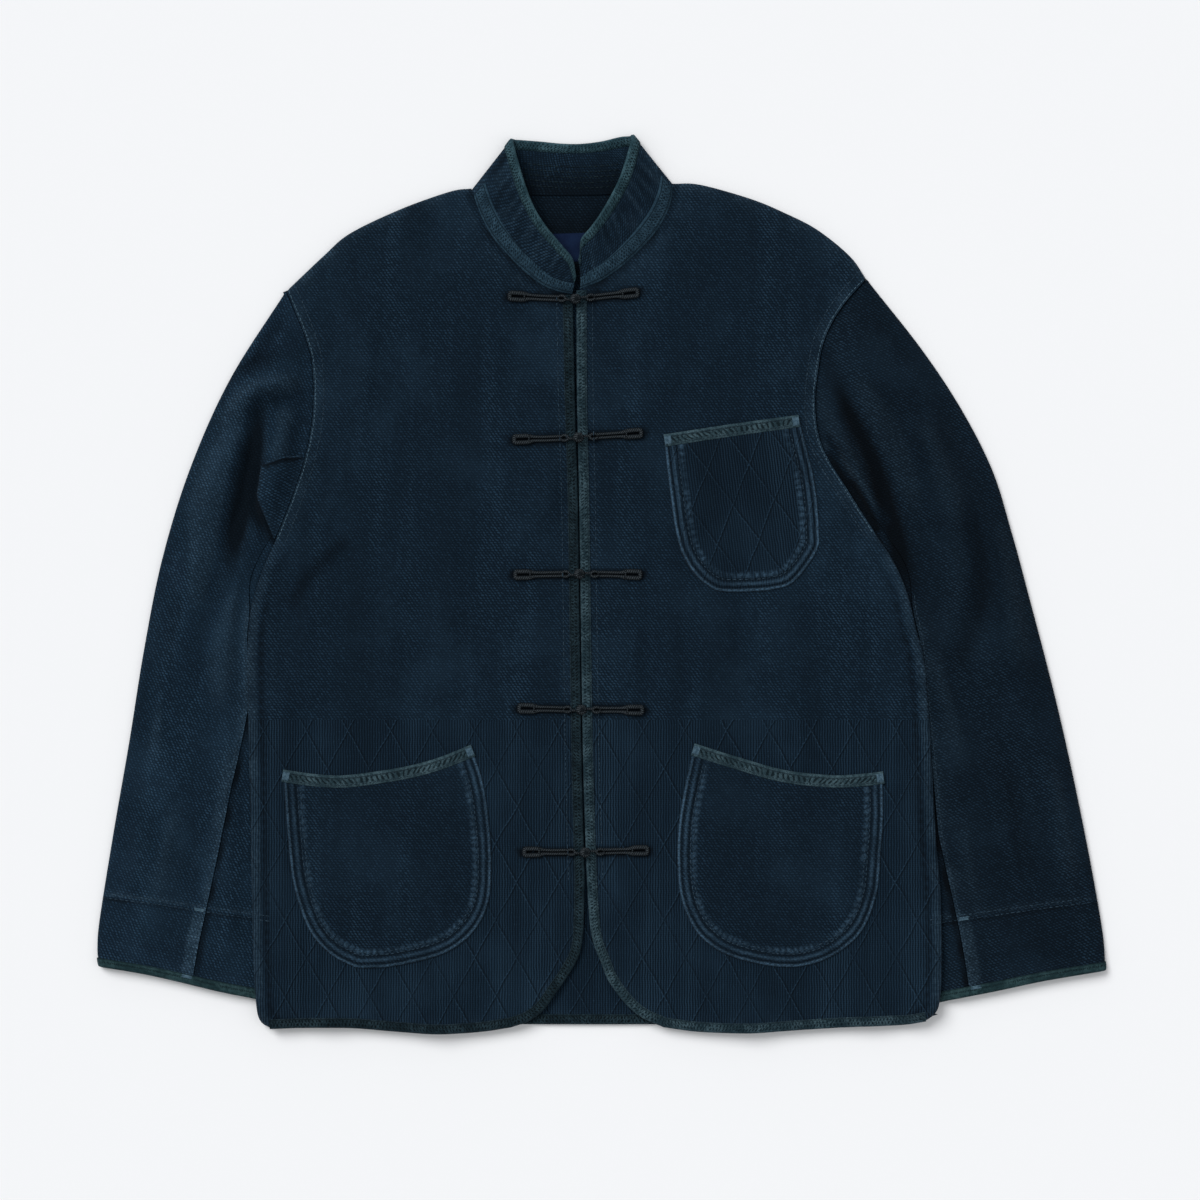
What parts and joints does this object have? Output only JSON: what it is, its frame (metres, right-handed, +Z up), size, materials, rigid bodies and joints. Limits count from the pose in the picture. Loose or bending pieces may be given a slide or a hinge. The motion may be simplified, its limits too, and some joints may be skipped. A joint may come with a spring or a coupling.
{
  "type": "stand-collar frog-fastened jacket, laid flat",
  "caption": "Hip-length cotton jacket with stand collar, knotted frog fastenings and patch pockets, lying flat on its back with its front up.",
  "frame": {"origin": "on the surface the jacket lies on, under the middle of its box", "axes": "+X across the garment to the wearer's left sleeve, +Y from the hem to the collar, +Z up from the surface"},
  "size_m": [0.8406, 0.7478, 0.0171],
  "materials": {
    "sashiko": "dark indigo rice-grain and diamond sashiko cotton",
    "tape": "worn indigo ribbed cotton tape",
    "cord": "charcoal cotton cord",
    "label": "plain indigo cloth"
  },
  "bodies": {
    "root": {"back": "sashiko", "back_hem_binding": "tape", "collar": "sashiko", "cuff_binding_left": "tape", "cuff_binding_right": "tape", "frog_1_left": "cord", "frog_1_right": "cord", "frog_2_left": "cord", "frog_2_right": "cord", "frog_3_left": "cord", "frog_3_right": "cord", "frog_4_left": "cord", "frog_4_right": "cord", "frog_5_left": "cord", "frog_5_right": "cord", "front_binding_left": "tape", "front_binding_right": "tape", "front_left": "sashiko", "front_right": "sashiko", "gusset_left": "sashiko", "gusset_right": "sashiko", "knot_1": "cord", "knot_2": "cord", "knot_3": "cord", "knot_4": "cord", "knot_5": "cord", "label": "label", "neck_tape_left": "tape", "neck_tape_right": "tape", "pocket_chest": "sashiko", "pocket_chest_binding": "tape", "pocket_left": "sashiko", "pocket_left_binding": "tape", "pocket_right": "sashiko", "pocket_right_binding": "tape", "sleeve_left": "sashiko", "sleeve_right": "sashiko", "undersleeve_left": "sashiko", "undersleeve_right": "sashiko"}
  },
  "joints": []
}
